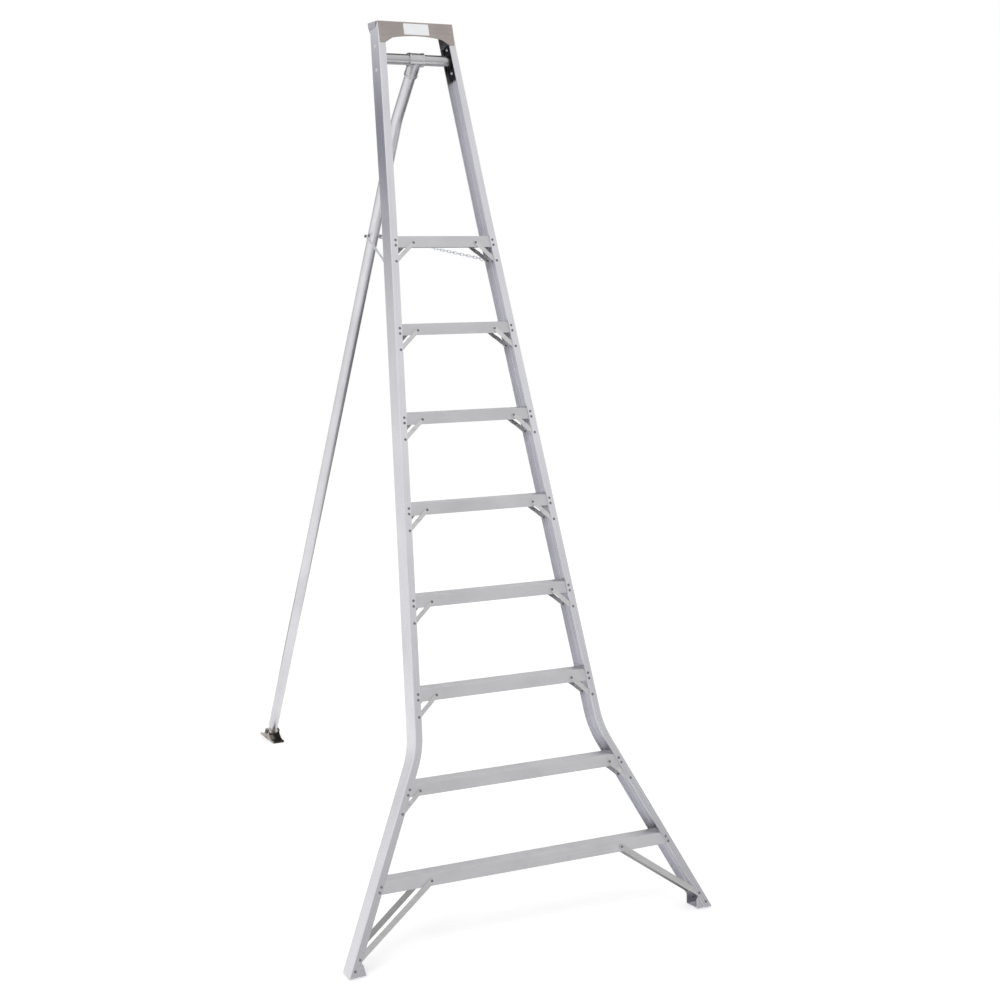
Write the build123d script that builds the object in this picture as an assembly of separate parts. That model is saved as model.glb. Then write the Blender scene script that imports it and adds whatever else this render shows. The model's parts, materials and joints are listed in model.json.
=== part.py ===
from build123d import *
import os
from math import acos, ceil, cos, degrees, radians, sin, tan

# Three-legged orchard ladder, standing open on its two flared rails and its rear pole.
# The front frame is drawn upright (X across, Y from front to rear, Z up the rails) and then leaned back.

# Stance
rail_lean = 19.27           # the front frame leans back from upright by this, degrees
pole_top_angle = 35.63      # top of the pole leans forward from upright by this when open, degrees
pole_bend = 10.7            # the pole is bent by this below its top fitting, degrees
cut_angle = 14.0            # treads, soles and cap rise to the rear by this from square to the rails, degrees

# Rails
rail_depth = 71.0
rail_flange = 26.0
rail_wall = 3.0
rail_corner = 4.0           # outside corner radius of the channel
rail_inner_corner = 1.5
rail_top = 3154.3           # along the lean, to the front of the rail's upper end
taper_angle = 5.1           # each rail leans inwards above its bend, degrees
top_taper = 4.36            # each rail leans inwards near its top, degrees
flare_angle = 26.0          # each rail spreads outwards below its bend, degrees
bend_height = 673.3         # along the lean
top_bend_height = 2460.3    # along the lean, where the rails' taper eases
bend_half_width = 341.6     # to the middle of the flange
bend_radius = 300.0

# Steps
step_count = 8
first_step = 259.8          # along the lean, to the rivet line of the lowest step
first_pitch = 288.0         # from the first step to the second
second_pitch = 298.0        # from the second step to the third
step_pitch = 304.8          # between the others
step_below = 15.8           # from the rivet line down to the front skirt's edge
step_above = 23.4           # from the rivet line up to the tread's front edge
step_wall = 3.0
tread_wall = 3.2
tread_corner = 4.5
step_end_gap = 2.0          # between a step's end and the rail's web
groove_count = 11
groove_width = 2.2
groove_depth = 1.1

# Braces
brace_width = 14.0
base_brace_width = 19.0
brace_wall = 3.0
brace_drop = 64.7           # along the lean, from a step's rivet line down to the rail rivet
brace_holes = 97.4          # between the two rivets of a short brace
brace_flat = 43.0           # flat length from each rivet before the strip steps behind the rail
base_brace_reach = 279.0    # across, between the two rivets of a base brace
base_brace_height = 58.8    # along the lean, to the lower rivet of a base brace

# Rivets
rivet_shank = 4.8
rivet_head = 9.4
rivet_head_height = 2.2
rivet_tail = 6.6
rivet_tail_height = 1.6
rivet_hole = 3.0            # the hollow left in a rivet's head
rivet_hole_depth = 1.8
rivet_gap = 0.05            # radial clearance of a rivet in its hole
rivet_inset = 4.5           # rivets stand inwards of the flange's middle by this
rivet_pair = 18.3           # between the two rivets of a step's end

# Feet
foot_wall = 3.0
foot_height = 40.0
foot_length = 46.0          # from the middle of the rail's flange to the foot's inner end, at its sole
foot_slant = 5.0            # a foot's inner end stands this much further out at its top
foot_gap = 1.6              # between a foot's outer end and the rail's web
foot_rivet_height = 19.3    # above the rail's lower end
foot_chamfer = 8.0

# Top cap
cap_wall = 2.0
cap_half_length = 142.8     # of the skirts
cap_skirt = 77.0            # height of the front skirt at its ends
cap_arch = 50.0             # height of the front skirt at the middle of its arch
cap_shoulder = 59.0         # height of the front skirt where the arch meets its shoulder
cap_rear_skirt = 36.0       # height of the rear skirt
cap_arch_half = 94.5        # half the length of the arch
cap_leg = 20.0              # length of the straight lower edge at each end
cap_corner = 4.0
cap_tab_height = 24.0
cap_tab_front = 14.0        # from the rail's front face to the end tab
cap_tab_radius = 18.0
cap_tab_gap = 0.3           # between an end tab and the rail's web
cap_rivet_top = 16.0        # below the rail's upper end
cap_rivet_pitch = 35.0
label_length = 96.0
label_height = 40.0
label_wall = 0.4

# Cross tube and its flanges
tube_diameter = 38.1
tube_wall = 3.0
tube_height = 3034.5        # along the lean
tube_end_gap = 3.0
tube_fit = 0.05             # radial clearance of the flanges and the tee on the tube
flange_length = 119.0
flange_gap = 2.5            # between a flange's long edges and the inside of the rail
flange_corner = 5.0
flange_wall = 12.0
flange_collar = 50.0
flange_reach = 21.5         # from the rail's web to the collar's mouth
flange_bolt_pitch = 85.2
flange_bolt = 6.0
flange_bolt_head = 12.0
flange_bolt_head_height = 2.6
flange_nut_flats = 10.0
flange_nut_height = 5.0
bolt_gap = 0.2              # radial clearance of a bolt in its hole
bolt_tail = 3.0             # bolt thread beyond its nut

# Tee fitting
tee_sleeve = 46.5
tee_length = 58.0
tee_socket = 47.6
tee_rim = 1.4               # the rims at the tee's mouths stand proud by this
tee_rim_length = 8.0
tee_reach = 64.0            # from the tube's axis to the socket's mouth
tee_screw = 8.0
tee_screw_height = 44.0     # from the tube's axis to the set screw
tee_screw_proud = 1.5

# Rear pole
pole_diameter = 41.3
pole_wall = 2.6
pole_start = 28.0           # from the tube's axis to the pole's upper end
pole_bend_reach = 247.0     # from the tube's axis to the bend
pole_bend_radius = 260.0
pole_fit = 0.05             # radial clearance of the pole in its fittings
plug_shank = 45.0
plug_neck = 34.0
plug_head = 30.0            # from the shoe's pivot up to the end of the pole

# Pole shoe
shoe_length = 157.0
shoe_wall = 3.0
shoe_side_gap = 1.8         # between the pole and each ear
shoe_pivot_height = 32.0
shoe_corner = 2.5
ear_height = 46.0
ear_top = 30.0              # length of an ear along its top edge
ear_foot = 152.0            # length of an ear along the base
ear_waist = 62.0            # length of an ear at its waist
ear_waist_height = 19.0
ear_tip = 6.0               # height of an ear's ends above the base
ear_corner = 5.0
shoe_bolt = 10.0
shoe_bolt_fit = 0.06        # radial running clearance of the shoe on its bolt
shoe_bolt_flats = 17.0
shoe_bolt_head = 4.6

# Spreader chains
chain_wire = 3.0
link_inner_length = 17.6
link_inner_width = 5.0
link_slack = 0.3            # play between two links
end_link_wire = 3.4
end_link_inner_length = 26.0
end_link_inner_width = 9.0
end_link_seat = 5.2         # from the middle of the wire it hangs on to the end link's inner end
chain_open_gap = 1.6        # between the two halves of a chain
eye_height = 2335.0         # along the lean
eye_wire = 4.0
eye_radius = 8.5            # to the middle of the eye's wire
eye_neck = 4.0              # from the rail to the eye's wire
eye_shank = 5.0
eye_nut_flats = 8.0
eye_nut_height = 4.0
chain_bolt_reach = 467.0    # from the pole's bend down to the chain bolt
chain_bolt = 6.0
chain_bolt_flats = 10.0
chain_bolt_head = 4.0
chain_side = 26.0           # from the middle of the pole to each chain's end link
chain_bolt_half = 30.0      # from the middle of the pole to the bolt's head

# Worked out from the sizes above
cut_slope = tan(radians(cut_angle))
step_rise = (rail_depth - 2 * rail_wall) * cut_slope        # a step's rear skirt is this much further up
toe = rail_depth * (tan(radians(rail_lean)) - cut_slope)    # the rail's front end, with its rear end on the floor
rail_middle = rail_depth / 2
pole_low_angle = pole_top_angle - pole_bend


def half_width(height):
    if height < bend_height:
        return bend_half_width + (bend_height - height) * tan(radians(flare_angle))
    middle = min(height, top_bend_height) - bend_height
    upper = max(height - top_bend_height, 0)
    return bend_half_width - middle * tan(radians(taper_angle)) - upper * tan(radians(top_taper))


def rail_angle(height):
    if height < bend_height:
        return flare_angle
    return taper_angle if height < top_bend_height else top_taper


def across_rail(height, offset):
    return half_width(height) + offset / cos(radians(rail_angle(height)))


def step_line(number):
    pitches = [first_step, first_pitch, second_pitch] + [step_pitch] * (step_count - 3)
    return sum(pitches[:number])


def leaned(across, depth, height):
    lean = radians(rail_lean)
    return Vector(across, height * sin(lean) + depth * cos(lean), height * cos(lean) - depth * sin(lean))


# The pole's pivots, before the ladder is moved to its origin
tube_centre = leaned(0, rail_middle, tube_height)
pole_top_way = Vector(0, sin(radians(pole_top_angle)), -cos(radians(pole_top_angle)))
pole_low_way = Vector(0, sin(radians(pole_low_angle)), -cos(radians(pole_low_angle)))
pole_elbow = tube_centre + pole_top_way * pole_bend_reach
pole_low_length = (pole_elbow.Z - shoe_pivot_height) / cos(radians(pole_low_angle))
shoe_pivot = pole_elbow + pole_low_way * pole_low_length
chain_bolt_centre = pole_elbow + pole_low_way * chain_bolt_reach

# The origin is on the floor, midway between the rails' front edges and the shoe's rear edge
front_edge = leaned(0, 0, toe).Y
rear_edge = shoe_pivot.Y + shoe_length / 2
middle_depth = (front_edge + rear_edge) / 2
centred = Pos(0, -middle_depth, 0)
lean_back = centred * Rot(-rail_lean, 0, 0)
beyond = 2 * rail_top           # the size of a block that is larger than the ladder
parts = {}


def both_sides(shape):
    return shape, mirror(shape, about=Plane.YZ)


def add(name, *shapes):
    parts[name] = Compound(children=list(shapes)) if len(shapes) > 1 else shapes[0]


def drill(across, height, diameter, depth_from, depth_to):
    length = depth_to - depth_from
    place = Pos(across, (depth_from + depth_to) / 2, height) * Rot(90, 0, 0)
    return place * Cylinder(diameter / 2, length)


def dome(width, height):
    # Round side down, flat side at Z = 0
    rim = width / 2
    ball = (rim**2 + height**2) / (2 * height)
    return Pos(0, 0, ball - height) * Sphere(ball) & Pos(0, 0, -height / 2) * Cylinder(width, height)


def rivet(grip):
    # Domed and hollow head below Z = 0, shank through the grip, flattened tail above it
    shank = Pos(0, 0, grip / 2) * Cylinder(rivet_shank / 2, grip)
    tail = Pos(0, 0, grip + rivet_tail_height / 2) * Cylinder(rivet_tail / 2, rivet_tail_height)
    hollow = Pos(0, 0, -rivet_head_height) * Cylinder(rivet_hole / 2, 2 * rivet_hole_depth)
    return dome(rivet_head, rivet_head_height) + shank + tail - hollow


def rivet_from_front(shape, across, face, height):
    return Pos(across, face, height) * Rot(-90, 0, 0) * shape


def rivet_from_rear(shape, across, face, height):
    return Pos(across, face, height) * Rot(90, 0, 0) * shape


# Where the right-hand rivets go, as (across, height), with no rise in front and the step's rise behind
def step_rivet_points(number, rise):
    line = step_line(number) + rise
    slant = radians(rail_angle(line))
    heights = [line + side * rivet_pair / 2 * cos(slant) for side in (1, -1)]
    return [(across_rail(height, -rivet_inset), height) for height in heights]


def brace_points(number, rise):
    # Upper rivet on the step's skirt, then lower rivet on the rail's flange
    line = step_line(number) + rise
    height = base_brace_height + rise
    reach = base_brace_reach
    if number > 1:
        height = line - brace_drop
        reach = (brace_holes**2 - brace_drop**2) ** 0.5
    across = across_rail(height, -rivet_inset)
    return (across - reach, line), (across, height)


def cap_rivet_points(rear):
    if rear:
        height = rail_top + rail_depth * cut_slope - cap_rear_skirt / 2
        return [(half_width(height), height)]
    top = rail_top - cap_rivet_top
    return [(half_width(height), height) for height in (top, top - cap_rivet_pitch)]


def foot_rivet_point(rise):
    height = toe + foot_rivet_height + rise
    return half_width(height), height


# Rails
def rail_profile():
    channel = Pos(0, rail_middle) * Rectangle(rail_flange, rail_depth)
    outer = channel.vertices().group_by(Axis.X)[-1]
    channel = fillet(outer, rail_corner)
    inside = Pos(-rail_wall, rail_middle) * Rectangle(rail_flange, rail_depth - 2 * rail_wall)
    inside = fillet(inside.vertices().group_by(Axis.X)[-1], rail_inner_corner)
    return channel - inside


def right_rail():
    low = -rail_depth
    high = rail_top + rail_depth
    path = FilletPolyline(
        (half_width(low), 0, low),
        (bend_half_width, 0, bend_height),
        (half_width(top_bend_height), 0, top_bend_height),
        (half_width(high), 0, high),
        radius=bend_radius,
    )
    outward = (cos(radians(flare_angle)), 0, sin(radians(flare_angle)))
    start = Plane(origin=path @ 0, x_dir=outward, z_dir=path % 0)
    rail = sweep(start * rail_profile(), path=path)
    block = Box(beyond, beyond, beyond)
    below = Pos(0, 0, toe) * Rot(cut_angle, 0, 0) * Pos(0, 0, -beyond / 2) * block
    above = Pos(0, 0, rail_top) * Rot(cut_angle, 0, 0) * Pos(0, 0, beyond / 2) * block
    holes = []
    hole = rivet_shank + 2 * rivet_gap
    front = (-1, rail_wall + 1)
    rear = (rail_depth - rail_wall - 1, rail_depth + 1)
    for rise, faces in ((0, front), (step_rise, rear)):
        points = cap_rivet_points(rise > 0) + [foot_rivet_point(rise)]
        for number in range(1, step_count + 1):
            points += step_rivet_points(number, rise) + [brace_points(number, rise)[1]]
        holes += [drill(across, height, hole, *faces) for across, height in points]
    holes.append(drill(half_width(eye_height), eye_height, eye_shank + 2 * bolt_gap, *rear))
    for place in flange_bolt_places():
        holes.append(place * Cylinder(flange_bolt / 2 + bolt_gap, 4 * flange_wall))
    return rail - below - above - holes


# Steps
def step_profile(number):
    line = step_line(number)
    front = rail_wall
    rear = rail_depth - rail_wall

    def level(depth, height):
        return depth, line + height + (depth - front) * cut_slope

    outer = Polygon(
        level(front, -step_below),
        level(rear, -step_below),
        level(rear, step_above),
        level(front, step_above),
        align=None,
    )
    outer = fillet(outer.vertices().sort_by(Axis.Y)[-1], tread_corner)
    top_front = outer.vertices().sort_by_distance(level(front, step_above))[0]
    outer = fillet(top_front, tread_corner)
    inner = Polygon(
        level(front + step_wall, -2 * step_below),
        level(rear - step_wall, -2 * step_below),
        level(rear - step_wall, step_above - tread_wall),
        level(front + step_wall, step_above - tread_wall),
        align=None,
    )
    profile = outer - inner
    pitch = (rear - front) / (groove_count + 1)
    for index in range(groove_count):
        middle = front + pitch * (index + 1)
        profile -= Polygon(
            level(middle - groove_width / 2, step_above + 1),
            level(middle - groove_width / 2, step_above - groove_depth),
            level(middle + groove_width / 2, step_above - groove_depth),
            level(middle + groove_width / 2, step_above + 1),
            align=None,
        )
    return profile


def step(number):
    line = step_line(number)
    low = line - 2 * step_below
    high = line + step_above + 2 * step_rise
    inside = rail_flange / 2 - rail_wall - step_end_gap
    wide = half_width(low) + 100
    bar = extrude(Plane.YZ * step_profile(number), wide, both=True)
    ends = Polygon(
        (-across_rail(low, inside), low),
        (across_rail(low, inside), low),
        (across_rail(high, inside), high),
        (-across_rail(high, inside), high),
        align=None,
    )
    between = extrude(Plane.XZ * ends, rail_depth, dir=(0, 1, 0))
    bar = bar & between
    hole = rivet_shank + 2 * rivet_gap
    front = (rail_wall - 1, rail_wall + step_wall + 1)
    rear = (rail_depth - front[1], rail_depth - front[0])
    holes = []
    for rise, faces in ((0, front), (step_rise, rear)):
        for across, height in step_rivet_points(number, rise) + [brace_points(number, rise)[0]]:
            holes += [drill(side * across, height, hole, *faces) for side in (-1, 1)]
    return bar - holes


# Braces: a flat strip over the step's skirt at its upper end and behind the rail's flange at its lower end
def right_brace(number, rise):
    (upper_across, upper_height), (lower_across, lower_height) = brace_points(number, rise)
    span = Vector(lower_across - upper_across, 0, lower_height - upper_height)
    length = span.length
    tilt = degrees(acos(span.X / length))
    over = rail_wall - brace_wall
    under = rail_wall
    side = Polyline(
        (-brace_flat, over),
        (brace_flat, over),
        (length - brace_flat, under),
        (length + brace_flat, under),
        (length + brace_flat, under + brace_wall),
        (length - brace_flat, under + brace_wall),
        (brace_flat, over + brace_wall),
        (-brace_flat, over + brace_wall),
        close=True,
    )
    strip = extrude(make_face(side), base_brace_width, both=True)
    width = base_brace_width if number == 1 else brace_width
    outline = Pos(length / 2, 0) * SlotCenterToCenter(length, width)
    strip = strip & extrude(Plane.XZ * outline, rail_depth, both=True)
    for middle in (0, length):
        strip -= drill(middle, 0, rivet_shank + 2 * rivet_gap, -brace_wall, rail_depth)
    return Pos(upper_across, 0, upper_height) * Rot(0, tilt, 0) * strip


def to_rear(shape):
    return Pos(0, rail_depth, 0) * mirror(shape, about=Plane.XZ)


# Feet: a bent plate inside each rail's lower end
def right_foot():
    front = rail_wall
    rear = rail_depth - rail_wall

    def on_sole(depth, height):
        return depth, toe + height + depth * cut_slope

    section = Polygon(
        on_sole(front, 0),
        on_sole(rear, 0),
        on_sole(rear, foot_height),
        on_sole(rear - foot_wall, foot_height),
        on_sole(rear - foot_wall, foot_wall),
        on_sole(front + foot_wall, foot_wall),
        on_sole(front + foot_wall, foot_height),
        on_sole(front, foot_height),
        align=None,
    )
    foot_inner = half_width(toe) - foot_length
    low = toe - rail_wall
    top = toe + foot_height
    high = top + rail_depth * cut_slope
    wide = across_rail(low, rail_flange)
    plate = extrude(Plane.YZ * section, wide)
    inside = rail_flange / 2 - rail_wall - foot_gap
    beside_web = Polygon(
        (0, low),
        (across_rail(low, inside), low),
        (across_rail(high, inside), high),
        (0, high),
        align=None,
    )
    plate = plate & extrude(Plane.XZ * beside_web, rail_depth, dir=(0, 1, 0))
    outline = Polygon(
        (foot_inner, low),
        (wide, low),
        (wide, top + rail_wall),
        (foot_inner + foot_slant + foot_chamfer, top + rail_wall),
        (foot_inner + foot_slant, top - foot_chamfer),
        align=None,
    )
    sole_length = rail_depth / cos(radians(cut_angle))
    plate = plate & extrude(Plane.XZ * outline, sole_length, dir=(0, 1, cut_slope))
    hole = rivet_shank + 2 * rivet_gap
    plate -= drill(*foot_rivet_point(0), hole, 0, front + foot_wall + 1)
    return plate - drill(*foot_rivet_point(step_rise), hole, rear - foot_wall - 1, rail_depth)


# Top cap: a folded sheet with an arched skirt in front, a plain skirt behind and a tab over each web
cap_top_wall = cap_wall / cos(radians(cut_angle))       # thickness of the cap's top along the rails


def cap_top(depth):
    return rail_top + cap_top_wall + depth * cut_slope


def cap_front_skirt():
    top = cap_top(0)
    seam = cap_top(-cap_wall) - cap_top_wall / 2
    end = cap_half_length - cap_leg
    with BuildSketch(Plane.XZ) as skirt:
        with BuildLine():
            Polyline(
                (-end, top - cap_skirt),
                (-cap_half_length, top - cap_skirt),
                (-cap_half_length, seam),
                (cap_half_length, seam),
                (cap_half_length, top - cap_skirt),
                (end, top - cap_skirt),
            )
            Line((end, top - cap_skirt), (cap_arch_half, top - cap_shoulder))
            ThreePointArc(
                (cap_arch_half, top - cap_shoulder),
                (0, top - cap_arch),
                (-cap_arch_half, top - cap_shoulder),
            )
            Line((-cap_arch_half, top - cap_shoulder), (-end, top - cap_skirt))
        make_face()
        fillet(skirt.vertices().group_by(Axis.Y)[0], cap_corner)
    return extrude(skirt.sketch, cap_wall, dir=(0, -1, 0))


def cap_rear_skirt_sheet():
    seam = cap_top(rail_depth) - cap_top_wall / 2
    edge = cap_top(rail_depth + cap_wall) - cap_rear_skirt
    sheet = Pos(0, (seam + edge) / 2) * Rectangle(2 * cap_half_length, seam - edge)
    sheet = fillet(sheet.vertices().group_by(Axis.Y)[0], cap_corner)
    return Pos(0, rail_depth, 0) * extrude(Plane.XZ * sheet, cap_wall, dir=(0, 1, 0))


def cap_band(front, rear, height, across, width):
    # A strip that follows the cap's slope from front to rear and hangs down from its top by the height
    band = Polygon(
        (front, cap_top(front) - height),
        (rear, cap_top(rear) - height),
        (rear, cap_top(rear)),
        (front, cap_top(front)),
        align=None,
    )
    return Pos(across, 0, 0) * extrude(Plane.YZ * band, width)


def cap_end():
    # The tab over the right web and the part of the top that it hangs from
    rear = rail_depth + cap_wall
    lowest = cap_top(cap_tab_front) - cap_tab_height
    inner = across_rail(lowest, rail_flange / 2) + cap_tab_gap
    tab = cap_band(cap_tab_front, rear, cap_tab_height, inner, cap_wall)
    corner = tab.edges().filter_by(Axis.X).group_by(Axis.Z)[0]
    largest = cap_tab_height * tan(radians(90 - cut_angle) / 2)     # a round over the whole front edge
    tab = fillet(corner, min(cap_tab_radius, 0.98 * largest))
    return tab + cap_band(cap_tab_front, rear, cap_top_wall, 0, inner + cap_wall)


def top_cap():
    rear = rail_depth + cap_wall
    top = cap_band(-cap_wall, rear, cap_top_wall, -cap_half_length, 2 * cap_half_length)
    cap = top + cap_front_skirt() + cap_rear_skirt_sheet()
    along = cap.edges().filter_by(Axis.X)
    ridges = [along.group_by(Axis.Y)[end].sort_by(Axis.Z)[-1] for end in (0, -1)]
    cap = fillet(ridges, cap_wall * 0.9)
    cap = cap + list(both_sides(cap_end()))
    hole = rivet_shank + 2 * rivet_gap
    for side in (-1, 1):
        for across, height in cap_rivet_points(False):
            cap -= drill(side * across, height, hole, -2 * cap_wall, rail_wall)
        for across, height in cap_rivet_points(True):
            cap -= drill(side * across, height, hole, rail_depth - rail_wall, rail_depth + 2 * cap_wall)
    return cap


def cap_label():
    middle = cap_top(0) - cap_arch / 2 - 1
    plate = Rectangle(label_length, label_height)
    plate = fillet(plate.vertices(), 2)
    return Pos(0, -cap_wall, middle) * extrude(Plane.XZ * plate, label_wall)


# Cross tube and its flanges
def web_frame():
    # On the right web's inner face at the tube, Z out of the web towards the middle of the ladder
    slant = radians(rail_angle(tube_height))
    inward = (-cos(slant), 0, -sin(slant))
    along = (-sin(slant), 0, cos(slant))
    origin = (across_rail(tube_height, rail_flange / 2 - rail_wall), rail_middle, tube_height)
    return Plane(origin=origin, x_dir=along, z_dir=inward)


def flange_bolt_places():
    web = web_frame()
    return [web * Pos(side * flange_bolt_pitch / 2, 0, 0) for side in (-1, 1)]


def right_tube_flange():
    web = web_frame()
    outline = Rectangle(flange_length, rail_depth - 2 * rail_wall - 2 * flange_gap)
    plate = extrude(fillet(outline.vertices(), flange_corner), flange_wall)
    plate = fillet(plate.edges().group_by(Axis.Z)[-1], 1.5)
    plate = web * plate
    mouth = web.origin.X - flange_reach
    length = flange_reach + 2 * rail_wall
    along_tube = Pos(mouth, rail_middle, tube_height) * Rot(0, 90, 0)
    collar = along_tube * Pos(0, 0, length / 2) * Cylinder(flange_collar / 2, length)
    collar = chamfer(collar.edges().group_by(Axis.X)[0], 1.5)
    behind = web * Pos(0, 0, -beyond / 2) * Box(beyond, beyond, beyond)
    flange = plate + collar - behind
    flange -= along_tube * Cylinder(tube_diameter / 2 + tube_fit, 4 * flange_reach)
    holes = [place * Cylinder(flange_bolt / 2 + bolt_gap, 4 * flange_wall) for place in flange_bolt_places()]
    return flange - holes


def cross_tube():
    half = across_rail(tube_height, rail_flange / 2 - rail_wall) - tube_end_gap
    place = Pos(0, rail_middle, tube_height) * Rot(0, 90, 0)
    tube = Cylinder(tube_diameter / 2, 2 * half) - Cylinder(tube_diameter / 2 - tube_wall, 3 * half)
    return place * tube


def hex_nut(flats, height, bore):
    nut = extrude(RegularPolygon(flats / 2, 6, major_radius=False), height)
    nut -= Cylinder(bore / 2, 4 * height)
    crown = Cone(flats * 0.86, flats * 0.5, height * 0.9, align=(Align.CENTER, Align.CENTER, Align.MIN))
    return nut & Pos(0, 0, height * 0.1) * crown + (nut & Cylinder(flats, height * 0.24))


def flange_bolts():
    # Low round heads outside the web, threads through the flange
    length = rail_wall + flange_wall + flange_nut_height + bolt_tail
    shank = Pos(0, 0, length / 2 - rail_wall) * Cylinder(flange_bolt / 2, length)
    shank = chamfer(shank.edges().group_by(Axis.Z)[-1], 0.8)
    head = Pos(0, 0, -rail_wall) * dome(flange_bolt_head, flange_bolt_head_height)
    return [place * (shank + head) for place in flange_bolt_places()]


def flange_nuts():
    nut = hex_nut(flange_nut_flats, flange_nut_height, flange_bolt + 2 * rivet_gap)
    return [place * Pos(0, 0, flange_wall) * nut for place in flange_bolt_places()]


# Tee fitting, drawn with the pole's top hanging straight down from the tube's axis
pole_frame = centred * Pos(tube_centre) * Rot(pole_top_angle, 0, 0)


def pole_tee():
    sleeve = Rot(0, 90, 0) * Cylinder(tee_sleeve / 2, tee_length)
    socket = Pos(0, 0, -tee_reach / 2) * Cylinder(tee_socket / 2, tee_reach)
    rims = []
    for side in (-1, 1):
        rim = Cylinder(tee_sleeve / 2 + tee_rim, tee_rim_length)
        rim = chamfer(rim.edges().filter_by(GeomType.CIRCLE), tee_rim * 0.8)
        rims.append(Pos(side * (tee_length - tee_rim_length) / 2, 0, 0) * Rot(0, 90, 0) * rim)
    mouth = Cylinder(tee_socket / 2 + tee_rim, tee_rim_length)
    mouth = chamfer(mouth.edges().filter_by(GeomType.CIRCLE), tee_rim * 0.8)
    rims.append(Pos(0, 0, tee_rim_length / 2 - tee_reach) * mouth)
    boss = Pos(0, tee_socket / 2, -tee_screw_height) * Rot(90, 0, 0) * Cylinder(tee_screw * 0.9, 4)
    tee = sleeve + socket + rims + boss
    tee -= Rot(0, 90, 0) * Cylinder(tube_diameter / 2 + tube_fit, 2 * tee_length)
    bore_length = tee_reach - pole_start + 1
    tee -= Pos(0, 0, -tee_reach + bore_length / 2 - 1) * Cylinder(pole_diameter / 2 + pole_fit, bore_length)
    return tee - tee_screw_space(rivet_gap)


def tee_screw_space(gap):
    inner = pole_diameter / 2 + pole_fit
    outer = tee_socket / 2 + 2 + tee_screw_proud
    place = Pos(0, (inner + outer) / 2, -tee_screw_height) * Rot(90, 0, 0)
    return place * Cylinder(tee_screw / 2 + gap, outer - inner)


def tee_set_screw():
    outer = tee_socket / 2 + 2 + tee_screw_proud
    keyway = extrude(RegularPolygon(tee_screw * 0.25, 6), 3, both=True)
    return tee_screw_space(0) - Pos(0, outer, -tee_screw_height) * Rot(90, 0, 0) * keyway


# Rear pole
def rear_pole():
    bend = radians(pole_bend)
    tube_end = pole_low_length - plug_head
    path = FilletPolyline(
        (0, 0, -pole_start),
        (0, 0, -pole_bend_reach),
        (0, -tube_end * sin(bend), -pole_bend_reach - tube_end * cos(bend)),
        radius=pole_bend_radius,
    )
    ring = Circle(pole_diameter / 2) - Circle(pole_diameter / 2 - pole_wall)
    start = Plane(origin=path @ 0, x_dir=(1, 0, 0), z_dir=path % 0)
    pole = sweep(start * ring, path=path)
    hole = low_frame * Pos(0, 0, -chain_bolt_reach) * Rot(0, 90, 0)
    hole = hole * Cylinder(chain_bolt / 2 + bolt_gap, 2 * pole_diameter)
    return pole_frame * pole - hole


# The pole's lower run, hanging straight down from its bend
low_frame = centred * Pos(pole_elbow) * Rot(pole_low_angle, 0, 0)
shoe_frame = centred * Pos(shoe_pivot)


def pole_end_plug():
    radius = pole_diameter / 2
    shank_radius = radius - pole_wall - pole_fit
    shank = Pos(0, 0, plug_head + plug_shank / 2) * Cylinder(shank_radius, plug_shank)
    shank = chamfer(shank.edges().group_by(Axis.Z)[-1], 2)
    neck = Pos(0, 0, plug_head / 2) * Cylinder(plug_neck / 2, plug_head)
    round_end = Rot(0, 90, 0) * Cylinder(plug_neck / 2, pole_diameter)
    round_end = fillet(round_end.edges().filter_by(GeomType.CIRCLE), 3)
    plug = shank + neck + round_end
    plug -= Rot(0, 90, 0) * Cylinder(shoe_bolt / 2 + shoe_bolt_fit, 2 * pole_diameter)
    return shoe_frame * Rot(pole_low_angle, 0, 0) * plug


# Pole shoe, drawn about its pivot
ear_inner = pole_diameter / 2 + shoe_side_gap
ear_outer = ear_inner + shoe_wall


def pole_shoe():
    floor = -shoe_pivot_height
    base = Pos(0, 0, floor + shoe_wall / 2) * Box(2 * ear_outer, shoe_length, shoe_wall)
    base = fillet(base.edges().filter_by(Axis.Z), shoe_corner)
    with BuildSketch(Plane.YZ) as ear:
        with BuildLine():
            Line((ear_foot / 2, floor + shoe_wall), (ear_foot / 2, floor + shoe_wall + ear_tip))
            ThreePointArc(
                (ear_foot / 2, floor + shoe_wall + ear_tip),
                (ear_waist / 2, floor + ear_waist_height),
                (ear_top / 2, floor + ear_height),
            )
            Line((ear_top / 2, floor + ear_height), (-ear_top / 2, floor + ear_height))
            ThreePointArc(
                (-ear_top / 2, floor + ear_height),
                (-ear_waist / 2, floor + ear_waist_height),
                (-ear_foot / 2, floor + shoe_wall + ear_tip),
            )
            Line((-ear_foot / 2, floor + shoe_wall + ear_tip), (-ear_foot / 2, floor + shoe_wall))
            Line((-ear_foot / 2, floor + shoe_wall), (ear_foot / 2, floor + shoe_wall))
        make_face()
        fillet(ear.vertices().group_by(Axis.Y)[-1], ear_corner)
    right_ear = Pos(ear_inner, 0, 0) * extrude(ear.sketch, shoe_wall)
    shoe = base + list(both_sides(right_ear))
    shoe -= Rot(0, 90, 0) * Cylinder(shoe_bolt / 2 + shoe_bolt_fit, 4 * ear_outer)
    return shoe_frame * shoe


def hex_bolt(shank, flats, head_height, length):
    bolt = Pos(0, 0, length / 2) * Cylinder(shank / 2, length)
    head = extrude(RegularPolygon(flats / 2, 6, major_radius=False), -head_height)
    return bolt + head


def cross_bolt(shank, flats, head_height, half_length):
    # Lies along X with its head on the left and its nut on the right
    length = 2 * half_length + head_height + bolt_tail
    bolt = Pos(-half_length, 0, 0) * Rot(0, 90, 0) * hex_bolt(shank, flats, head_height, length)
    nut = Pos(half_length, 0, 0) * Rot(0, 90, 0) * hex_nut(flats, head_height, shank + 2 * rivet_gap)
    return bolt, nut


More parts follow.
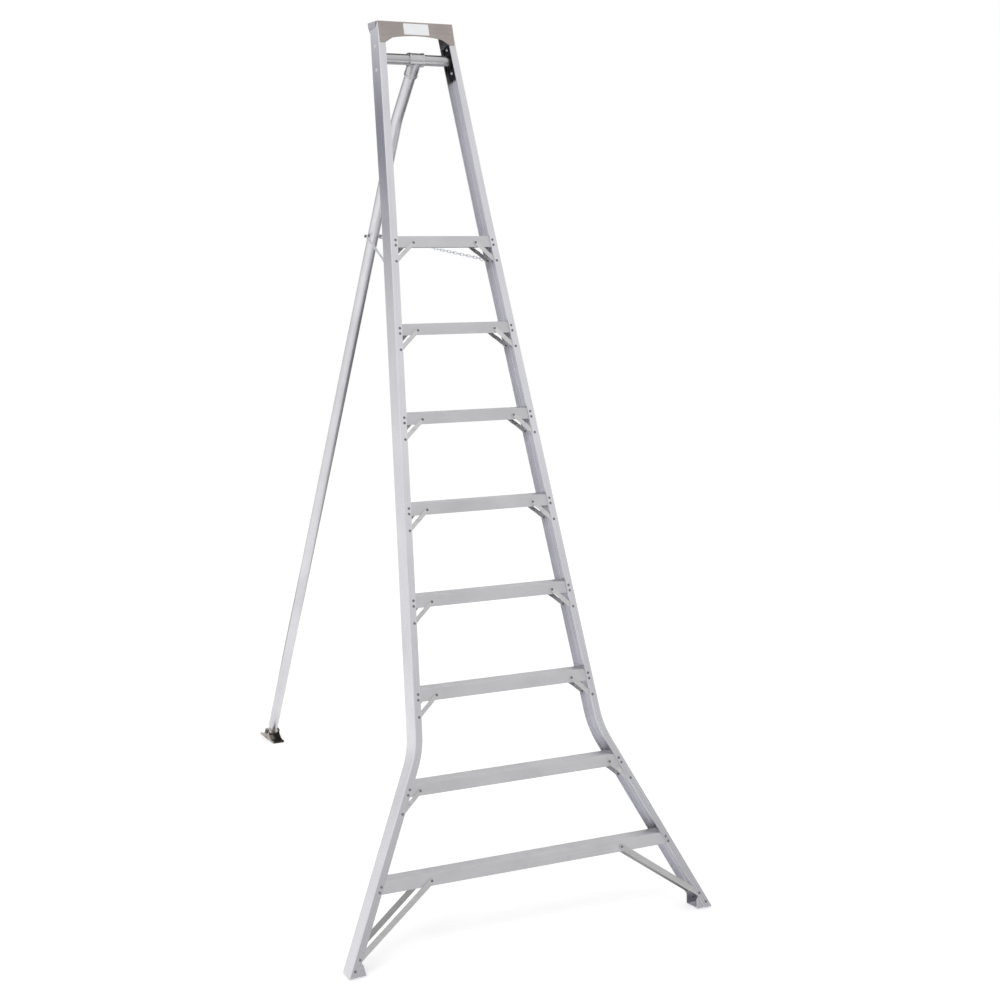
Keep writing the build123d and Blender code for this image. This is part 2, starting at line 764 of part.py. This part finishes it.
# Spreader chains
def oval_link(wire, inner_length, inner_width):
    # Lies in the XZ plane with its length along X
    radius = (inner_width + wire) / 2
    run = inner_length - inner_width
    half_ring = (Align.CENTER, Align.MIN, Align.CENTER)
    bow = Rot(90, 0, 0) * Rot(0, 0, -90) * Torus(radius, wire / 2, major_angle=180, align=half_ring)
    bows = Pos(run / 2, 0, 0) * bow + Pos(-run / 2, 0, 0) * Rot(0, 0, 180) * bow
    bars = [Pos(0, 0, side * radius) * Rot(0, 90, 0) * Cylinder(wire / 2, run) for side in (-1, 1)]
    return bows + bars


def half_chain(start, finish):
    # Starts with a large end link round the wire at start, and stops just short of halfway to finish
    way = finish - start
    length = way.length / 2 - chain_open_gap / 2
    side = Vector(1, 0, 0) - way * (way.X / way.length**2)
    place = Plane(origin=start, x_dir=way, z_dir=way.cross(side).cross(way))
    end_middle = end_link_inner_length / 2 - end_link_seat
    links = [Pos(end_middle, 0, 0) * oval_link(end_link_wire, end_link_inner_length, end_link_inner_width)]
    first = end_middle + end_link_inner_length / 2 - link_slack
    longest = link_inner_length - link_slack
    room = length - first - chain_wire
    count = ceil(room / longest)
    spacing = room / count
    inner_length = spacing + link_slack
    link = oval_link(chain_wire, inner_length, link_inner_width)
    for index in range(count):
        quarter = 90 if index % 2 == 0 else 0
        middle = first + spacing * (index + 0.5)
        links.append(Pos(middle, 0, 0) * Rot(quarter, 0, 0) * link)
    return [place * Rot(90, 0, 0) * shape for shape in links]


def chain_eye():
    # A ring that lies across the rail's rear flange on a threaded shank
    face = rail_depth
    ring_middle = face + eye_neck + eye_wire / 2 + eye_radius
    ring = Pos(0, ring_middle, 0) * Torus(eye_radius, eye_wire / 2)
    inner = face - rail_wall - eye_nut_height - bolt_tail
    outer = ring_middle - eye_radius
    shank = Pos(0, (inner + outer) / 2, 0) * Rot(90, 0, 0) * Cylinder(eye_shank / 2, outer - inner)
    collar = Pos(0, face + 1, 0) * Rot(90, 0, 0) * Cylinder(eye_nut_flats / 2, 2)
    return Pos(half_width(eye_height), 0, eye_height) * (ring + shank + collar)


def chain_eye_nut():
    nut = hex_nut(eye_nut_flats, eye_nut_height, eye_shank + 2 * rivet_gap)
    return Pos(half_width(eye_height), rail_depth - rail_wall, eye_height) * Rot(90, 0, 0) * nut


eye_grip = leaned(half_width(eye_height), rail_depth + eye_neck + eye_wire / 2 + 2 * eye_radius, eye_height)


# Front frame
right = lean_back * right_rail()
add("right_rail", right)
add("left_rail", mirror(right, about=Plane.YZ))
for number in range(1, step_count + 1):
    add(f"step_{number}", lean_back * step(number))
    front_pair = both_sides(lean_back * right_brace(number, 0))
    rear_pair = both_sides(lean_back * to_rear(right_brace(number, step_rise)))
    for hand, front, rear in zip(("right", "left"), front_pair, rear_pair):
        if number == 1:
            add(f"{hand}_front_base_brace", front)
            add(f"{hand}_rear_base_brace", rear)
        else:
            add(f"step_{number}_{hand}_braces", front, rear)
for hand, foot in zip(("right", "left"), both_sides(lean_back * right_foot())):
    add(f"{hand}_foot", foot)
add("top_cap", lean_back * top_cap())
add("cap_label", lean_back * cap_label())

# Rivets, and the bolts of the flanges
step_rivet = rivet(rail_wall + step_wall)
upper_brace_rivet = rivet(brace_wall + step_wall)
lower_brace_rivet = rivet(rail_wall + brace_wall)
cap_rivet = rivet(cap_wall + rail_wall)
foot_rivet = rivet(rail_wall + foot_wall)
skirt_face = rail_wall - brace_wall
step_rivets = []
brace_rivets = []
for number in range(1, step_count + 1):
    for across, height in step_rivet_points(number, 0):
        step_rivets.append(rivet_from_front(step_rivet, across, 0, height))
    for across, height in step_rivet_points(number, step_rise):
        step_rivets.append(rivet_from_rear(step_rivet, across, rail_depth, height))
    upper, lower = brace_points(number, 0)
    brace_rivets.append(rivet_from_front(upper_brace_rivet, upper[0], skirt_face, upper[1]))
    brace_rivets.append(rivet_from_front(lower_brace_rivet, lower[0], 0, lower[1]))
    upper, lower = brace_points(number, step_rise)
    brace_rivets.append(rivet_from_rear(upper_brace_rivet, upper[0], rail_depth - skirt_face, upper[1]))
    brace_rivets.append(rivet_from_rear(lower_brace_rivet, lower[0], rail_depth, lower[1]))
cap_rivets = []
for across, height in cap_rivet_points(False):
    cap_rivets.append(rivet_from_front(cap_rivet, across, -cap_wall, height))
for across, height in cap_rivet_points(True):
    cap_rivets.append(rivet_from_rear(cap_rivet, across, rail_depth + cap_wall, height))
front_point = foot_rivet_point(0)
rear_point = foot_rivet_point(step_rise)
foot_rivets = [
    rivet_from_front(foot_rivet, front_point[0], 0, front_point[1]),
    rivet_from_rear(foot_rivet, rear_point[0], rail_depth, rear_point[1]),
]
groups = {
    "step_rivets": step_rivets,
    "brace_rivets": brace_rivets,
    "cap_rivets": cap_rivets,
    "foot_rivets": foot_rivets,
    "flange_bolts": flange_bolts(),
    "flange_nuts": flange_nuts(),
}
for name, fasteners in groups.items():
    add(name, *[shape for one in fasteners for shape in both_sides(lean_back * one)])

# Cross tube
add("cross_tube", lean_back * cross_tube())
for hand, flange in zip(("right", "left"), both_sides(lean_back * right_tube_flange())):
    add(f"{hand}_tube_flange", flange)

# Pole and shoe
add("pole_tee", pole_frame * pole_tee())
add("tee_set_screw", pole_frame * tee_set_screw())
add("rear_pole", rear_pole())
add("pole_end_plug", pole_end_plug())
add("pole_shoe", pole_shoe())
pivot_bolt, pivot_nut = cross_bolt(shoe_bolt, shoe_bolt_flats, shoe_bolt_head, ear_outer)
add("shoe_bolt", shoe_frame * pivot_bolt)
add("shoe_nut", shoe_frame * pivot_nut)

# Spreader chains
for hand, eye in zip(("right", "left"), both_sides(lean_back * chain_eye())):
    add(f"{hand}_chain_eye", eye)
add("chain_eye_nuts", *both_sides(lean_back * chain_eye_nut()))
chain_bolt_frame = centred * Pos(chain_bolt_centre)
through_bolt, through_nut = cross_bolt(chain_bolt, chain_bolt_flats, chain_bolt_head, chain_bolt_half)
add("chain_bolt", chain_bolt_frame * through_bolt)
add("chain_bolt_nut", chain_bolt_frame * through_nut)
bolt_grip = chain_bolt_centre + Vector(chain_side, 0, 0)
frame_half = [centred * link for link in half_chain(eye_grip, bolt_grip)]
pole_half = [centred * link for link in half_chain(bolt_grip, eye_grip)]
for name, links in (("frame_chain", frame_half), ("pole_chain", pole_half)):
    mirrored = [mirror(link, about=Plane.YZ) for link in links]
    add(f"right_{name}", *links)
    add(f"left_{name}", *mirrored)

os.makedirs("parts", exist_ok=True)
for name, shape in parts.items():
    export_step(shape, f"parts/{name}.step")
places = {"tube": tube_centre, "shoe pivot": shoe_pivot, "eye": eye_grip, "bolt": bolt_grip}
for name, place in places.items():
    print(name, "at", round(place.X, 3), round(place.Y - middle_depth, 3), round(place.Z, 3))
print("nodes", len(parts), "middle depth", round(middle_depth, 3))
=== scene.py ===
import json
import math

import bpy
from mathutils import Matrix, Vector

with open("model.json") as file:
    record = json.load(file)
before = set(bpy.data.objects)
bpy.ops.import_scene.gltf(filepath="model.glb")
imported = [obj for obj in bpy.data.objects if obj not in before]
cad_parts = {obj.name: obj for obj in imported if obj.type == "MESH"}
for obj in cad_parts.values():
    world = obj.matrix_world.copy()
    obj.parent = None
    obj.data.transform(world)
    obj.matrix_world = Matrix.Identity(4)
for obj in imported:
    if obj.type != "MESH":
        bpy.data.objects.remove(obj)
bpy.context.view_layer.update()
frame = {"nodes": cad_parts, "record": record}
nodes = frame["nodes"]
slotOf = {part["node"]: part["material_slot"] for part in frame["record"]["subparts"]}
print("frame loaded:", len(nodes), "nodes")

camera = {
    "place": (-2.8971, -6.2587, 2.5502),
    "film": 36.0,            # mm, the width of the square picture
    "lens": 67.70,           # mm
    "yaw": 28.3676,          # degrees to the right of straight ahead
    "pitch": -10.5286,
    "roll": 1.2474,
    "farthest": 200.0,
}


def addCamera():
    data = bpy.data.cameras.new("photoCamera")
    data.sensor_width = camera["film"]
    data.lens = camera["lens"]
    data.clip_end = camera["farthest"]
    eye = bpy.data.objects.new("photoCamera", data)
    bpy.context.scene.collection.objects.link(eye)
    turn = Matrix.Rotation(-math.radians(camera["yaw"]), 4, "Z")
    turn = turn @ Matrix.Rotation(math.radians(90 + camera["pitch"]), 4, "X")
    turn = turn @ Matrix.Rotation(math.radians(camera["roll"]), 4, "Z")
    eye.matrix_world = Matrix.Translation(camera["place"]) @ turn
    bpy.context.scene.camera = eye


addCamera()
print("camera placed")


def newMaterial(name):
    material = bpy.data.materials.new(name)
    material.use_nodes = True
    tree = material.node_tree
    return material, tree, tree.nodes["Principled BSDF"]


def addNode(tree, kind, **values):
    node = tree.nodes.new(kind)
    for key, value in values.items():
        setattr(node, key, value)
    return node


def plug(tree, value, socket):
    # a number is set on the socket, an output is linked to it
    if isinstance(value, (int, float)):
        socket.default_value = value
    else:
        tree.links.new(value, socket)


def calc(tree, operation, first, second=0.0, third=0.0):
    node = addNode(tree, "ShaderNodeMath", operation=operation)
    for value, socket in zip((first, second, third), node.inputs):
        plug(tree, value, socket)
    return node.outputs[0]


def objectPoint(tree):
    coords = addNode(tree, "ShaderNodeTexCoord")
    return coords.outputs["Object"]


def splitPoint(tree, point):
    node = addNode(tree, "ShaderNodeSeparateXYZ")
    tree.links.new(point, node.inputs[0])
    return node.outputs[0], node.outputs[1], node.outputs[2]


def joinPoint(tree, x, y, z):
    node = addNode(tree, "ShaderNodeCombineXYZ")
    for value, socket in zip((x, y, z), node.inputs):
        plug(tree, value, socket)
    return node.outputs[0]


def spread(tree, factor, low, high, start=0.3, stop=0.7):
    # a pattern's middle range, stretched between two values
    node = addNode(tree, "ShaderNodeMapRange")
    node.inputs["From Min"].default_value = start
    node.inputs["From Max"].default_value = stop
    node.inputs["To Min"].default_value = low
    node.inputs["To Max"].default_value = high
    tree.links.new(factor, node.inputs["Value"])
    return node.outputs["Result"]


def cloudNoise(tree, point, scale, detail, roughness=0.55):
    texture = addNode(tree, "ShaderNodeTexNoise")
    texture.inputs["Scale"].default_value = scale
    texture.inputs["Detail"].default_value = detail
    texture.inputs["Roughness"].default_value = roughness
    tree.links.new(point, texture.inputs["Vector"])
    return texture.outputs["Fac"]


def mixColour(tree, factor, first, second):
    node = addNode(tree, "ShaderNodeMix", data_type="RGBA")
    tree.links.new(factor, node.inputs[0])
    for colour, socket in ((first, node.inputs[6]), (second, node.inputs[7])):
        if isinstance(colour, tuple):
            socket.default_value = (*colour, 1)
        else:
            tree.links.new(colour, socket)
    return node.outputs[2]


frameShape = {
    "lean": 19.27,           # degrees, like all angles here; heights follow the lean
    "front": -1.238767,      # y where the rails' front line meets the floor
    "bend": (0.6733, 0.3416),        # height and half width at the rails' lower bend
    "topBend": 2.4603,       # height of the slight bend near the top
    "flare": 26.0,           # below the lower bend
    "taper": 5.1,            # between the bends
    "topTaper": 4.36,
    "poleLean": -24.93,
    "stepTilt": 5.27,
}


def turned(tree, point, degrees):
    # turns a point about X, so that a leaning piece stands upright in its pattern
    node = addNode(tree, "ShaderNodeVectorRotate", rotation_type="X_AXIS")
    node.inputs["Angle"].default_value = math.radians(degrees)
    tree.links.new(point, node.inputs["Vector"])
    return node.outputs[0]


def railPoint(tree):
    # across the flange, across the web, and along the rail through its bends
    x, y, z = splitPoint(tree, objectPoint(tree))
    back = calc(tree, "SUBTRACT", y, frameShape["front"])
    upright = turned(tree, joinPoint(tree, 0.0, back, z), frameShape["lean"])
    depth, height = splitPoint(tree, upright)[1:]
    bendHeight, bendWidth = frameShape["bend"]
    below = calc(tree, "MAXIMUM", calc(tree, "SUBTRACT", bendHeight, height), 0.0)
    above = calc(tree, "MAXIMUM", calc(tree, "SUBTRACT", height, bendHeight), 0.0)
    middle = calc(tree, "MINIMUM", above, frameShape["topBend"] - bendHeight)
    upper = calc(tree, "SUBTRACT", above, middle)
    width = calc(tree, "MULTIPLY_ADD", below, math.tan(math.radians(frameShape["flare"])), bendWidth)
    for run, angle in ((middle, frameShape["taper"]), (upper, frameShape["topTaper"])):
        width = calc(tree, "SUBTRACT", width, calc(tree, "MULTIPLY", run, math.tan(math.radians(angle))))
    across = calc(tree, "SUBTRACT", calc(tree, "ABSOLUTE", x), width)
    return joinPoint(tree, across, depth, height)


def stepPoint(tree):
    x, y, z = splitPoint(tree, turned(tree, objectPoint(tree), frameShape["stepTilt"]))
    return joinPoint(tree, y, z, x)


def acrossPoint(tree):
    # for pieces that run from left to right on the leaning frame
    x, y, z = splitPoint(tree, turned(tree, objectPoint(tree), frameShape["lean"]))
    return joinPoint(tree, y, z, x)


def polePoint(tree):
    return turned(tree, objectPoint(tree), frameShape["poleLean"])


def stretched(tree, point, wide, long):
    # fine lines, wide metres apart and long metres long, along a pattern's third axis
    x, y, z = splitPoint(tree, point)
    parts = [calc(tree, "DIVIDE", value, size) for value, size in ((x, wide), (y, wide), (z, long))]
    return joinPoint(tree, *parts)


quarterTurn = 0.25           # as a share of a whole turn
bumpDepth = 0.001            # metres


def brush(tree, shader, along, amount):
    # fine lines along one direction of the piece smear its reflections across them
    way = addNode(tree, "ShaderNodeVectorTransform", vector_type="VECTOR")
    way.convert_from, way.convert_to = "OBJECT", "WORLD"
    way.inputs[0].default_value = along
    tree.links.new(way.outputs[0], shader.inputs["Tangent"])
    shader.inputs["Anisotropic"].default_value = amount
    shader.inputs["Anisotropic Rotation"].default_value = quarterTurn


def roughen(tree, shader, look, pattern):
    # one pattern makes the surface uneven, in its gloss and in its relief
    rough, uneven = look["roughness"], look["uneven"]
    tree.links.new(spread(tree, pattern, rough - uneven, rough + uneven), shader.inputs["Roughness"])
    bump = addNode(tree, "ShaderNodeBump")
    bump.inputs["Strength"].default_value = look["bump"]
    bump.inputs["Distance"].default_value = bumpDepth
    tree.links.new(pattern, bump.inputs["Height"])
    tree.links.new(bump.outputs["Normal"], shader.inputs["Normal"])


wear = {
    "scuffScale": 4,             # times as fine as the look's clouds
    "scuffs": (0.45, 1.0),       # the least and the most of it on a worn face
    "facingUp": (0.8, 0.97),     # how far up a face looks where wear sets in, and where it is full
}


def metal(name, look, pointMaker):
    material, tree, shader = newMaterial(name)
    shader.inputs["Metallic"].default_value = look["metallic"]
    if "brushed" in look:
        brush(tree, shader, *look["brushed"])
    point = pointMaker(tree)
    cloud = cloudNoise(tree, point, look["cloudScale"], detail=5)
    lines = cloudNoise(tree, stretched(tree, point, *look["lines"]), 1.0, detail=3)
    blend = calc(tree, "MULTIPLY_ADD", calc(tree, "SUBTRACT", lines, 0.5), look["lineShare"], cloud)
    colour = mixColour(tree, spread(tree, blend, 0, 1), look["dark"], look["light"])
    if "worn" in look:
        # faces that look up are rubbed paler
        surface = addNode(tree, "ShaderNodeNewGeometry")
        facing = splitPoint(tree, surface.outputs["Normal"])[2]
        scuffs = cloudNoise(tree, point, look["cloudScale"] * wear["scuffScale"], detail=4)
        amount = spread(tree, scuffs, *wear["scuffs"])
        amount = calc(tree, "MULTIPLY", spread(tree, facing, 0, 1, *wear["facingUp"]), amount)
        colour = mixColour(tree, amount, colour, look["worn"])
    if "paintedSheenAndShade" in look:
        # painted light and shade: another colour, which sets in between two distances from the ladder's
        # middle plane; it paints a pale sheen on the cap's end tabs and shade inside the shoe
        other, start, stop = look["paintedSheenAndShade"]
        across = calc(tree, "ABSOLUTE", splitPoint(tree, objectPoint(tree))[0])
        colour = mixColour(tree, spread(tree, across, 0, 1, start, stop), colour, other)
    tree.links.new(colour, shader.inputs["Base Color"])
    roughen(tree, shader, look, lines)
    return material


railLook = {
    "light": (0.74, 0.738, 0.78), "dark": (0.67, 0.668, 0.705), "cloudScale": 5.0,
    "metallic": 1.0, "roughness": 0.28, "uneven": 0.05,
    "lines": (0.0016, 0.55), "lineShare": 0.8, "bump": 0.05, "brushed": ((0.0, 0.33, 0.944), 0.8),
}
stepLook = {
    "light": (0.695, 0.69, 0.71), "dark": (0.605, 0.60, 0.62), "cloudScale": 6.0,
    "worn": (0.77, 0.765, 0.78),
    "metallic": 1.0, "roughness": 0.42, "uneven": 0.06,
    "lines": (0.0014, 0.40), "lineShare": 0.8, "bump": 0.06, "brushed": ((1.0, 0.0, 0.0), 0.85),
}
braceLook = {
    "light": (0.70, 0.695, 0.695), "dark": (0.60, 0.595, 0.595), "cloudScale": 9.0,
    "metallic": 1.0, "roughness": 0.38, "uneven": 0.06,
    "lines": (0.004, 0.03), "lineShare": 0.5, "bump": 0.04,
}
# painted shade: the rear base braces take a darker copy of the brace finish, for the shade they stand in
shadedRearBraceLook = {**braceLook, "light": (0.52, 0.515, 0.515), "dark": (0.44, 0.435, 0.435)}
poleLook = {
    "light": (0.69, 0.687, 0.715), "dark": (0.58, 0.577, 0.60), "cloudScale": 6.0,
    "metallic": 1.0, "roughness": 0.34, "uneven": 0.05,
    "lines": (0.0014, 0.60), "lineShare": 0.8, "bump": 0.03,
}
# painted shade: a darker copy of the pole's aluminium for the cross tube, for the shade under the cap
# where it lies
shadedTubeLook = {
    "light": (0.56, 0.56, 0.57), "dark": (0.48, 0.48, 0.49), "cloudScale": 8.0,
    "metallic": 1.0, "roughness": 0.27, "uneven": 0.05,
    "lines": (0.0014, 0.30), "lineShare": 0.7, "bump": 0.04,
}
capLook = {
    "light": (0.455, 0.405, 0.39), "dark": (0.365, 0.325, 0.312), "cloudScale": 7.0,
    "metallic": 1.0, "roughness": 0.32, "uneven": 0.07,
    "lines": (0.0018, 0.25), "lineShare": 0.6, "bump": 0.05,
    # painted reflection: the end tabs are painted pale, for the bright reflection they show like the
    # rails' webs
    "paintedSheenAndShade": ((0.82, 0.82, 0.83), 0.143, 0.145),             # the end tabs
}
# painted shade: the aluminium rivet heads are coloured dark, for the shade in and around their mandrel
# holes
shadedRivetLook = {
    "light": (0.26, 0.26, 0.265), "dark": (0.16, 0.16, 0.165), "cloudScale": 60.0,
    "metallic": 1.0, "roughness": 0.38, "uneven": 0.08,
    "lines": (0.002, 0.002), "lineShare": 0.4, "bump": 0.05,
}
zincLook = {
    "light": (0.78, 0.80, 0.84), "dark": (0.56, 0.58, 0.62), "cloudScale": 40.0,
    "metallic": 1.0, "roughness": 0.30, "uneven": 0.08,
    "lines": (0.003, 0.003), "lineShare": 0.4, "bump": 0.05,
}
teeLook = {
    "light": (0.60, 0.60, 0.615), "dark": (0.50, 0.50, 0.515), "cloudScale": 30.0,
    "metallic": 1.0, "roughness": 0.24, "uneven": 0.06,
    "lines": (0.0025, 0.0025), "lineShare": 0.5, "bump": 0.12,
}
shoeLook = {
    "light": (0.45, 0.405, 0.375), "dark": (0.24, 0.21, 0.19), "cloudScale": 26.0,
    "metallic": 0.9, "roughness": 0.34, "uneven": 0.10,
    "lines": (0.004, 0.004), "lineShare": 0.5, "bump": 0.15,
    # painted shade: the inside between the ears is painted near black, for the shade that falls there
    "paintedSheenAndShade": ((0.045, 0.040, 0.037), 0.0236, 0.0228),        # the inside
}
plugLook = {
    "light": (0.74, 0.72, 0.70), "dark": (0.62, 0.60, 0.58), "cloudScale": 30.0,
    "metallic": 1.0, "roughness": 0.45, "uneven": 0.08,
    "lines": (0.0025, 0.0025), "lineShare": 0.5, "bump": 0.2,
}
darkSteelLook = {
    "light": (0.14, 0.14, 0.145), "dark": (0.07, 0.07, 0.075), "cloudScale": 60.0,
    "metallic": 1.0, "roughness": 0.40, "uneven": 0.08,
    "lines": (0.002, 0.002), "lineShare": 0.4, "bump": 0.05,
}


def painted(name, look):
    material, tree, shader = newMaterial(name)
    shader.inputs["Specular IOR Level"].default_value = look["shine"]
    grain = cloudNoise(tree, objectPoint(tree), look["grainScale"], detail=3)
    colour = mixColour(tree, spread(tree, grain, 0, 1), look["dark"], look["light"])
    tree.links.new(colour, shader.inputs["Base Color"])
    roughen(tree, shader, look, grain)
    return material


blackLook = {
    "light": (0.016, 0.016, 0.018), "dark": (0.008, 0.008, 0.009), "grainScale": 400.0,
    "roughness": 0.5, "uneven": 0.06, "bump": 0.15, "shine": 0.07,
}
labelLook = {
    "light": (0.93, 0.94, 0.95), "dark": (0.90, 0.91, 0.92), "grainScale": 60.0,
    "roughness": 0.35, "uneven": 0.04, "bump": 0.02, "shine": 0.5,
}

finishes = {
    "rail_aluminium": metal("railAluminium", railLook, railPoint),
    "step_aluminium": metal("stepAluminium", stepLook, stepPoint),
    "brace_aluminium": metal("braceAluminium", braceLook, acrossPoint),
    "rear_brace": metal("shadedRearBraceAluminium", shadedRearBraceLook, acrossPoint),
    "tube_aluminium": metal("poleAluminium", poleLook, polePoint),
    "cross_tube": metal("shadedTubeAluminium", shadedTubeLook, acrossPoint),
    "cap_sheet": metal("capSheet", capLook, acrossPoint),
    "rivet_aluminium": metal("shadedRivetAluminium", shadedRivetLook, objectPoint),
    "zinc_steel": metal("zincSteel", zincLook, objectPoint),
    "grey_casting": metal("teeCasting", teeLook, objectPoint),
    "plug_casting": metal("plugCasting", plugLook, objectPoint),
    "shoe_steel": metal("shoeSteel", shoeLook, objectPoint),
    "dark_steel": metal("darkSteel", darkSteelLook, objectPoint),
    "black_casting": painted("blackCasting", blackLook),
    "label": painted("blankLabel", labelLook),
}
matchedTo = {
    # nodes that take another finish than their slot's
    "cap_rivets": "cap_sheet", "flange_bolts": "brace_aluminium", "chain_bolt": "rivet_aluminium",
    "left_rear_base_brace": "rear_brace", "right_rear_base_brace": "rear_brace",
}


def finishFor(node):
    if node in finishes:
        return finishes[node]
    if node in matchedTo:
        return finishes[matchedTo[node]]
    if node.startswith("step_") and node[5:].isdigit():
        return finishes["step_aluminium"]
    if "brace" in node and "rivets" not in node:
        return finishes["brace_aluminium"]
    return finishes[slotOf[node]]


for name, piece in nodes.items():
    piece.data.materials.clear()
    piece.data.materials.append(finishFor(name))
print("finishes given to every node")

studio = {
    "floorSize": 60.0,
    "floorDrop": 0.0005,     # below the ladder's feet
    "floorColour": (0.90, 0.90, 0.90),
    "floorGlow": 0.35,       # only for rays that see the floor as a background
    "worldLight": 0.72,
    "surround": 1.0,         # what background rays see of the world
}
lamps = {
    # place, what it lights, size and power
    "keySoftbox": ((-4.5, -4.0, 6.0), (0.0, -0.4, 1.4), (3.0, 3.0), 110.0),
    "fillSoftbox": ((4.0, 3.5, 5.0), (0.0, 0.0, 1.4), (3.0, 3.0), 30.0),
}


def backgroundRays(tree):
    # camera, glossy and transmission rays all see the white surround
    path = addNode(tree, "ShaderNodeLightPath")
    seen = calc(tree, "MAXIMUM", path.outputs["Is Camera Ray"], path.outputs["Is Glossy Ray"])
    return calc(tree, "MAXIMUM", seen, path.outputs["Is Transmission Ray"])


def addWorld():
    world = bpy.data.worlds.new("studioWorld")
    bpy.context.scene.world = world
    world.use_nodes = True
    tree = world.node_tree
    tree.nodes.clear()
    shaders = []
    for strength in (studio["worldLight"], studio["surround"]):
        background = addNode(tree, "ShaderNodeBackground")
        background.inputs["Strength"].default_value = strength
        background.inputs["Color"].default_value = (1, 1, 1, 1)
        shaders.append(background.outputs[0])
    mix = addNode(tree, "ShaderNodeMixShader")
    out = addNode(tree, "ShaderNodeOutputWorld")
    tree.links.new(backgroundRays(tree), mix.inputs[0])
    tree.links.new(shaders[0], mix.inputs[1])
    tree.links.new(shaders[1], mix.inputs[2])
    tree.links.new(mix.outputs[0], out.inputs["Surface"])


def addFloor():
    bpy.ops.mesh.primitive_plane_add(size=studio["floorSize"], location=(0, 0, -studio["floorDrop"]))
    floor = bpy.context.active_object
    floor.name = "studioFloor"
    material, tree, shader = newMaterial("floorPaper")
    shader.inputs["Base Color"].default_value = (*studio["floorColour"], 1)
    shader.inputs["Roughness"].default_value = 0.9
    shader.inputs["Specular IOR Level"].default_value = 0.0
    shader.inputs["Emission Color"].default_value = (1, 1, 1, 1)
    glow = calc(tree, "MULTIPLY", backgroundRays(tree), studio["floorGlow"])
    tree.links.new(glow, shader.inputs["Emission Strength"])
    floor.data.materials.append(material)


def aimed(place, target, axis):
    return (Vector(target) - Vector(place)).to_track_quat(axis, "Y").to_euler()


def addLamp(name, place, target, size, power):
    data = bpy.data.lights.new(name, "AREA")
    data.shape = "RECTANGLE"
    data.size, data.size_y = size
    data.energy = power
    lamp = bpy.data.objects.new(name, data)
    bpy.context.scene.collection.objects.link(lamp)
    lamp.location = place
    lamp.rotation_euler = aimed(place, target, "-Z")
    lamp.visible_glossy = False


cards = {
    # place, what it faces, size, and its tones in the metal's reflections, from its lower edge up:
    # share of the height, grey and blue
    "frontCard": (
        (2.0, -5.0, 4.0), (0.0, 5.0, 4.0), (7.0, 8.0),
        ((0.0, 0.44, 0.44), (0.5, 0.92, 0.92), (1.0, 0.84, 0.84)),
    ),
    "webCard": (
        (-2.4, 5.3, 2.3), (-0.2, -0.3, 2.3), (5.0, 3.4),
        (
            (0.0, 1.0, 1.0), (0.25, 0.90, 0.90), (0.5, 0.60, 0.60), (0.6, 0.38, 0.42),
            (0.68, 0.05, 0.11), (0.76, 0.06, 0.11), (0.84, 0.48, 0.52), (1.0, 1.0, 1.0),
        ),
    ),
    "farPoleCard": ((4.7, 2.4, 0.01), (4.7, 2.4, 5.0), (4.2, 7.0), ((0.0, 0.08, 0.10),)),
    "nearPoleCard": ((1.9, 2.25, 0.01), (1.9, 2.25, 5.0), (1.4, 4.5), ((0.0, 0.50, 0.50),)),
    "frontPoleCard": ((1.75, -0.8, 0.01), (1.75, -0.8, 5.0), (1.7, 1.6), ((0.0, 0.15, 0.17),)),
    "poleEdgeCard": ((-0.2, 3.3, 0.01), (-0.2, 3.3, 5.0), (2.0, 1.8), ((0.0, 0.03, 0.03),)),
    "overheadCard": ((2.6, 4.4, 8.0), (0.0, -0.2, 2.8), (4.5, 3.0), ((0.0, 0.10, 0.10),)),
}


def addCard(name, place, target, size, tones):
    bpy.ops.mesh.primitive_plane_add(size=1)
    card = bpy.context.active_object
    card.name = name
    card.scale = (*size, 1)
    card.location = place
    card.rotation_euler = aimed(place, target, "Z")
    material, tree, shader = newMaterial(name)
    shader.inputs["Base Color"].default_value = (0, 0, 0, 1)
    shader.inputs["Specular IOR Level"].default_value = 0.0
    ramp = addNode(tree, "ShaderNodeValToRGB")
    stops = ramp.color_ramp.elements
    while len(stops) > 1:
        stops.remove(stops[-1])
    for position, grey, blue in tones:
        stop = stops[0] if position == 0 else stops.new(position)
        stop.color = (grey, grey, blue, 1)
    height = splitPoint(tree, objectPoint(tree))[1]
    tree.links.new(calc(tree, "ADD", height, 0.5), ramp.inputs[0])
    tree.links.new(ramp.outputs[0], shader.inputs["Emission Color"])
    shader.inputs["Emission Strength"].default_value = 1.0
    card.data.materials.append(material)
    card.visible_camera = False
    card.visible_shadow = False
    card.visible_diffuse = False


addWorld()
addFloor()
for name, values in lamps.items():
    addLamp(name, *values)
for name, values in cards.items():
    addCard(name, *values)
bpy.context.scene.view_settings.view_transform = "Standard"
print("studio lit")
